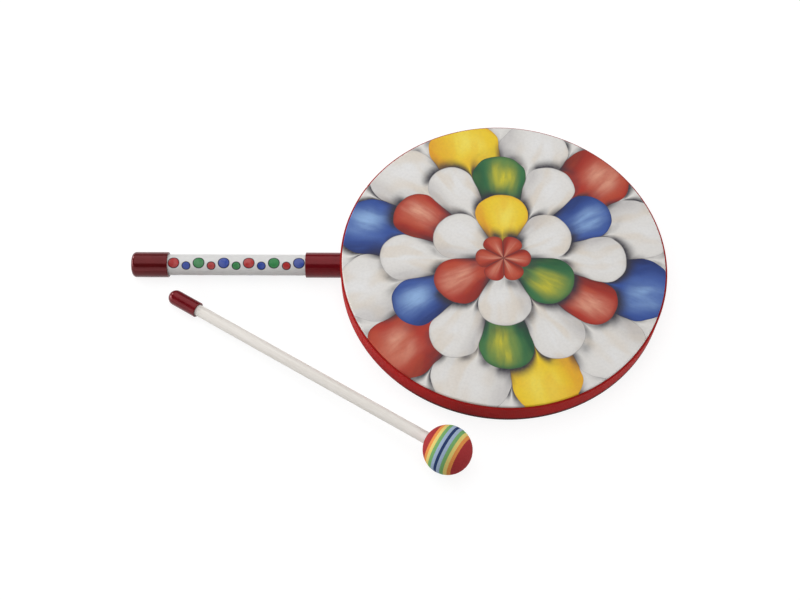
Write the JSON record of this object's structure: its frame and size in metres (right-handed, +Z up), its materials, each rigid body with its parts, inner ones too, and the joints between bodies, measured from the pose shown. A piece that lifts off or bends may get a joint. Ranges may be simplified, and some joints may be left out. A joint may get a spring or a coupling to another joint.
{
  "type": "lollipop drum",
  "caption": "Shallow round hand drum with a printed film head, taped rim and straight stick handle with vinyl caps, beside its loose mallet with a striped foam ball.",
  "frame": {"origin": "on the table plane, under the middle of the bounding box of drum and mallet", "axes": "+X from the handle's tip towards the drum, +Z up out of the drumhead, with the drum lying on its open back and the mallet on the -Y side"},
  "size_m": [0.418, 0.3024, 0.036],
  "materials": {
    "fibre_board": "matte",
    "head_film": "satin",
    "red_tape": "matte",
    "birch": "satin",
    "printed_film": "gloss",
    "red_vinyl": "gloss",
    "steel": "satin",
    "white_paint": "satin",
    "foam_red": "matte",
    "foam_orange": "matte",
    "foam_yellow": "matte",
    "foam_green": "matte",
    "foam_sky": "matte",
    "foam_navy": "matte"
  },
  "bodies": {
    "drum": {"shell": "fibre_board", "drumhead": "head_film", "rim_tape": "red_tape", "handle_dowel": "birch", "handle_sleeve": "printed_film", "handle_end_cap": "red_vinyl", "handle_ferrule": "red_vinyl", "handle_screw": "steel", "screw_washer": "steel"},
    "mallet": {"mallet_shaft": "white_paint", "mallet_end_cap": "red_vinyl", "ball_red_far": "foam_red", "ball_orange_far": "foam_orange", "ball_yellow_far": "foam_yellow", "ball_green_far": "foam_green", "ball_sky_far": "foam_sky", "ball_navy_core": "foam_navy", "ball_sky_near": "foam_sky", "ball_green_near": "foam_green", "ball_yellow_near": "foam_yellow", "ball_orange_near": "foam_orange", "ball_red_near": "foam_red"}
  },
  "joints": [
    {"name": "mallet_lift", "type": "slide", "parent": "drum", "child": "mallet", "axis": [0, 0, 1], "range_m": [0, 0.15]}
  ]
}
